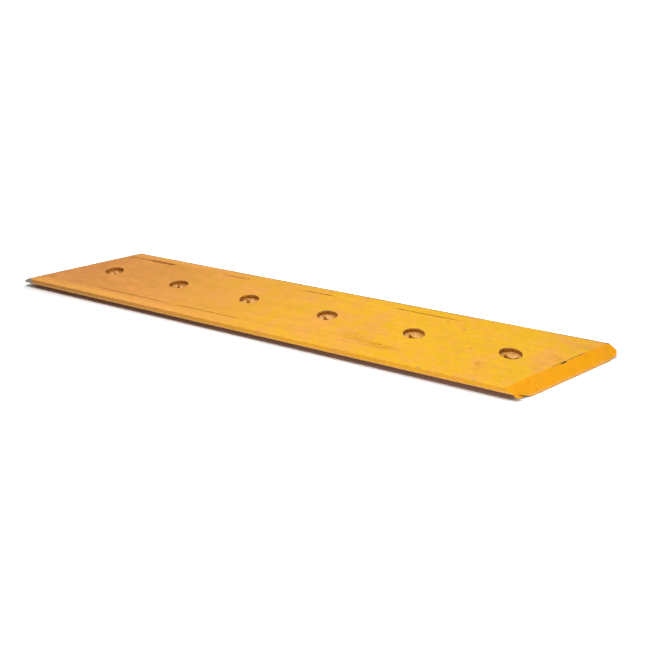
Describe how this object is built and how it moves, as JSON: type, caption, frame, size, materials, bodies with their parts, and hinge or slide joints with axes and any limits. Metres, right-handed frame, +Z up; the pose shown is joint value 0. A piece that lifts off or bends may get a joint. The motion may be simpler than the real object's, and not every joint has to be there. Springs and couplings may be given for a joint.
{
  "type": "dozer end bit",
  "caption": "Flat bolt-on steel wear plate for a dozer blade: parallelogram plan, bevelled edges and ends, and a row of countersunk square-neck bolt holes.",
  "frame": {"origin": "on the lower (blade) face, under the middle of the row of bolt holes", "axes": "+X along the plate's length, +Y across it towards the far long edge, +Z up out of the face that the bolt heads sink into"},
  "size_m": [1.3716, 0.254, 0.025],
  "materials": {
    "yellow_paint": "yellow-orange shop paint on rolled steel, satin, dusty and scuffed bare along some edges"
  },
  "bodies": {
    "root": {"end_bit_plate": "yellow_paint"}
  },
  "joints": []
}
